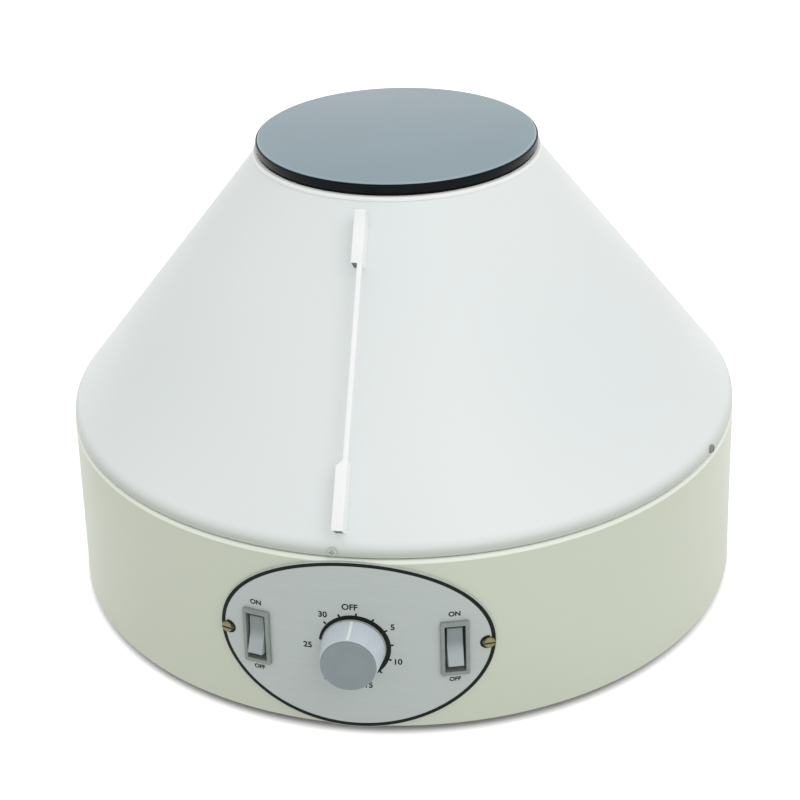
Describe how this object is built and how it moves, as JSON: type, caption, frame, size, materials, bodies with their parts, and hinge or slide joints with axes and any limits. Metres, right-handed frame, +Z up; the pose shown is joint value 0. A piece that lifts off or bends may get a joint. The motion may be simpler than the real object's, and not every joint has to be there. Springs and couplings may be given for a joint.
{
  "type": "milk fat centrifuge",
  "caption": "Bench centrifuge for milk fat tests: round cream base with timer knob and rocker switches, hinged white cone lid with smoked window, angled tube rotor inside.",
  "frame": {"origin": "on the bench under the rotor's axis, at the underside of the feet", "axes": "+Z up along the rotor's axis; the faceplate looks towards -Y; the lid's hinge is at +Y; +X to the right seen from the front"},
  "size_m": [0.3607, 0.3902, 0.244],
  "materials": {
    "cream_enamel": "smooth semi-gloss enamel in a pale greenish cream",
    "white_cover": "smooth semi-gloss enamel in a cool white",
    "smoked_window": "polished smoked acrylic",
    "grey_faceplate": "satin anodised sheet with printed marks",
    "grey_plastic": "moulded grey plastic",
    "grey_rocker": "moulded grey plastic",
    "grey_knob": "moulded grey-lilac plastic",
    "black_plastic": "moulded black plastic",
    "black_rubber": "matt black rubber",
    "white_grip": "bright white enamel",
    "zinc_steel": "zinc-plated steel",
    "bowl_steel": "spun stainless steel",
    "sleeve_steel": "polished stainless steel",
    "hinge_steel": "satin nickel-plated steel",
    "heater_steel": "oxidised heater tube",
    "bearing_steel": "ground steel",
    "iron_laminations": "stacked iron laminations",
    "copper_winding": "varnished copper wire",
    "brass": "slotted brass",
    "cast_aluminium": "cast aluminium",
    "rotor_aluminium": "spun aluminium",
    "motor_paint": "dark machine paint",
    "capacitor_can": "drawn aluminium can"
  },
  "bodies": {
    "base": {"base_shell": "cream_enamel", "base_plate": "zinc_steel", "base_plate_screws": "zinc_steel", "rubber_feet": "black_rubber", "foot_screws": "zinc_steel", "chamber_bowl": "bowl_steel", "bowl_screws": "zinc_steel", "shaft_seal": "black_rubber", "lid_seal": "black_rubber", "heater_ring": "heater_steel", "heater_clips": "bowl_steel", "thermostat": "black_plastic", "faceplate": "grey_faceplate", "faceplate_screws": "brass", "switch_housing_left": "grey_plastic", "switch_housing_right": "grey_plastic", "timer_body": "black_plastic", "timer_nut": "zinc_steel", "power_inlet": "black_plastic", "inlet_pins": "zinc_steel", "inlet_screws": "zinc_steel", "hinge_leaf_lower": "hinge_steel", "hinge_screws_lower": "zinc_steel", "hinge_pin": "hinge_steel", "motor_isolators": "black_rubber", "isolator_bolts": "zinc_steel", "motor_flange": "zinc_steel", "motor_bolts": "zinc_steel", "motor_bottom_bell": "cast_aluminium", "motor_can": "motor_paint", "motor_top_bell": "cast_aluminium", "motor_stator": "iron_laminations", "stator_coils": "copper_winding", "upper_bearing": "bearing_steel", "lower_bearing": "bearing_steel", "run_capacitor": "capacitor_can"},
    "lid": {"cover_shell": "white_cover", "cover_ring": "cast_aluminium", "cover_ring_screws": "zinc_steel", "window_gasket": "black_rubber", "window_plate": "smoked_window", "window_screws": "zinc_steel", "grip_bar": "white_grip", "grip_block_upper": "white_grip", "grip_block_lower": "white_grip", "grip_screws": "zinc_steel", "hinge_leaf_upper": "hinge_steel", "hinge_screws_upper": "zinc_steel"},
    "rotor": {"motor_shaft": "bearing_steel", "motor_rotor": "iron_laminations", "rotor_hub": "cast_aluminium", "rotor_cone": "rotor_aluminium", "tube_sleeves": "sleeve_steel", "sleeve_cushions": "black_rubber", "sleeve_hoop": "sleeve_steel", "rotor_nut": "zinc_steel"},
    "knob": {"control_knob": "grey_knob", "timer_spindle": "bearing_steel"},
    "rocker_left": {"rocker_left": "grey_rocker"},
    "rocker_right": {"rocker_right": "grey_rocker"}
  },
  "joints": [
    {"name": "lid_hinge", "type": "hinge", "parent": "base", "child": "lid", "pos_m": [0, 0.1875, 0.103], "axis": [-1, 0, 0], "range_deg": [0, 95]},
    {"name": "rotor_spin", "type": "hinge", "parent": "base", "child": "rotor", "pos_m": [0, 0, 0.1], "axis": [0, 0, 1], "continuous": true},
    {"name": "timer_knob", "type": "hinge", "parent": "base", "child": "knob", "pos_m": [0, -0.18082, 0.05103], "axis": [0, 0.9997, -0.0235], "range_deg": [0, 320]},
    {"name": "rocker_left_tilt", "type": "hinge", "parent": "base", "child": "rocker_left", "pos_m": [-0.04668, -0.17005, 0.04993], "axis": [0.9643, -0.2647, 0], "range_deg": [0, 24]},
    {"name": "rocker_right_tilt", "type": "hinge", "parent": "base", "child": "rocker_right", "pos_m": [0.04668, -0.17005, 0.04993], "axis": [0.9643, 0.2647, 0], "range_deg": [0, 24]}
  ]
}
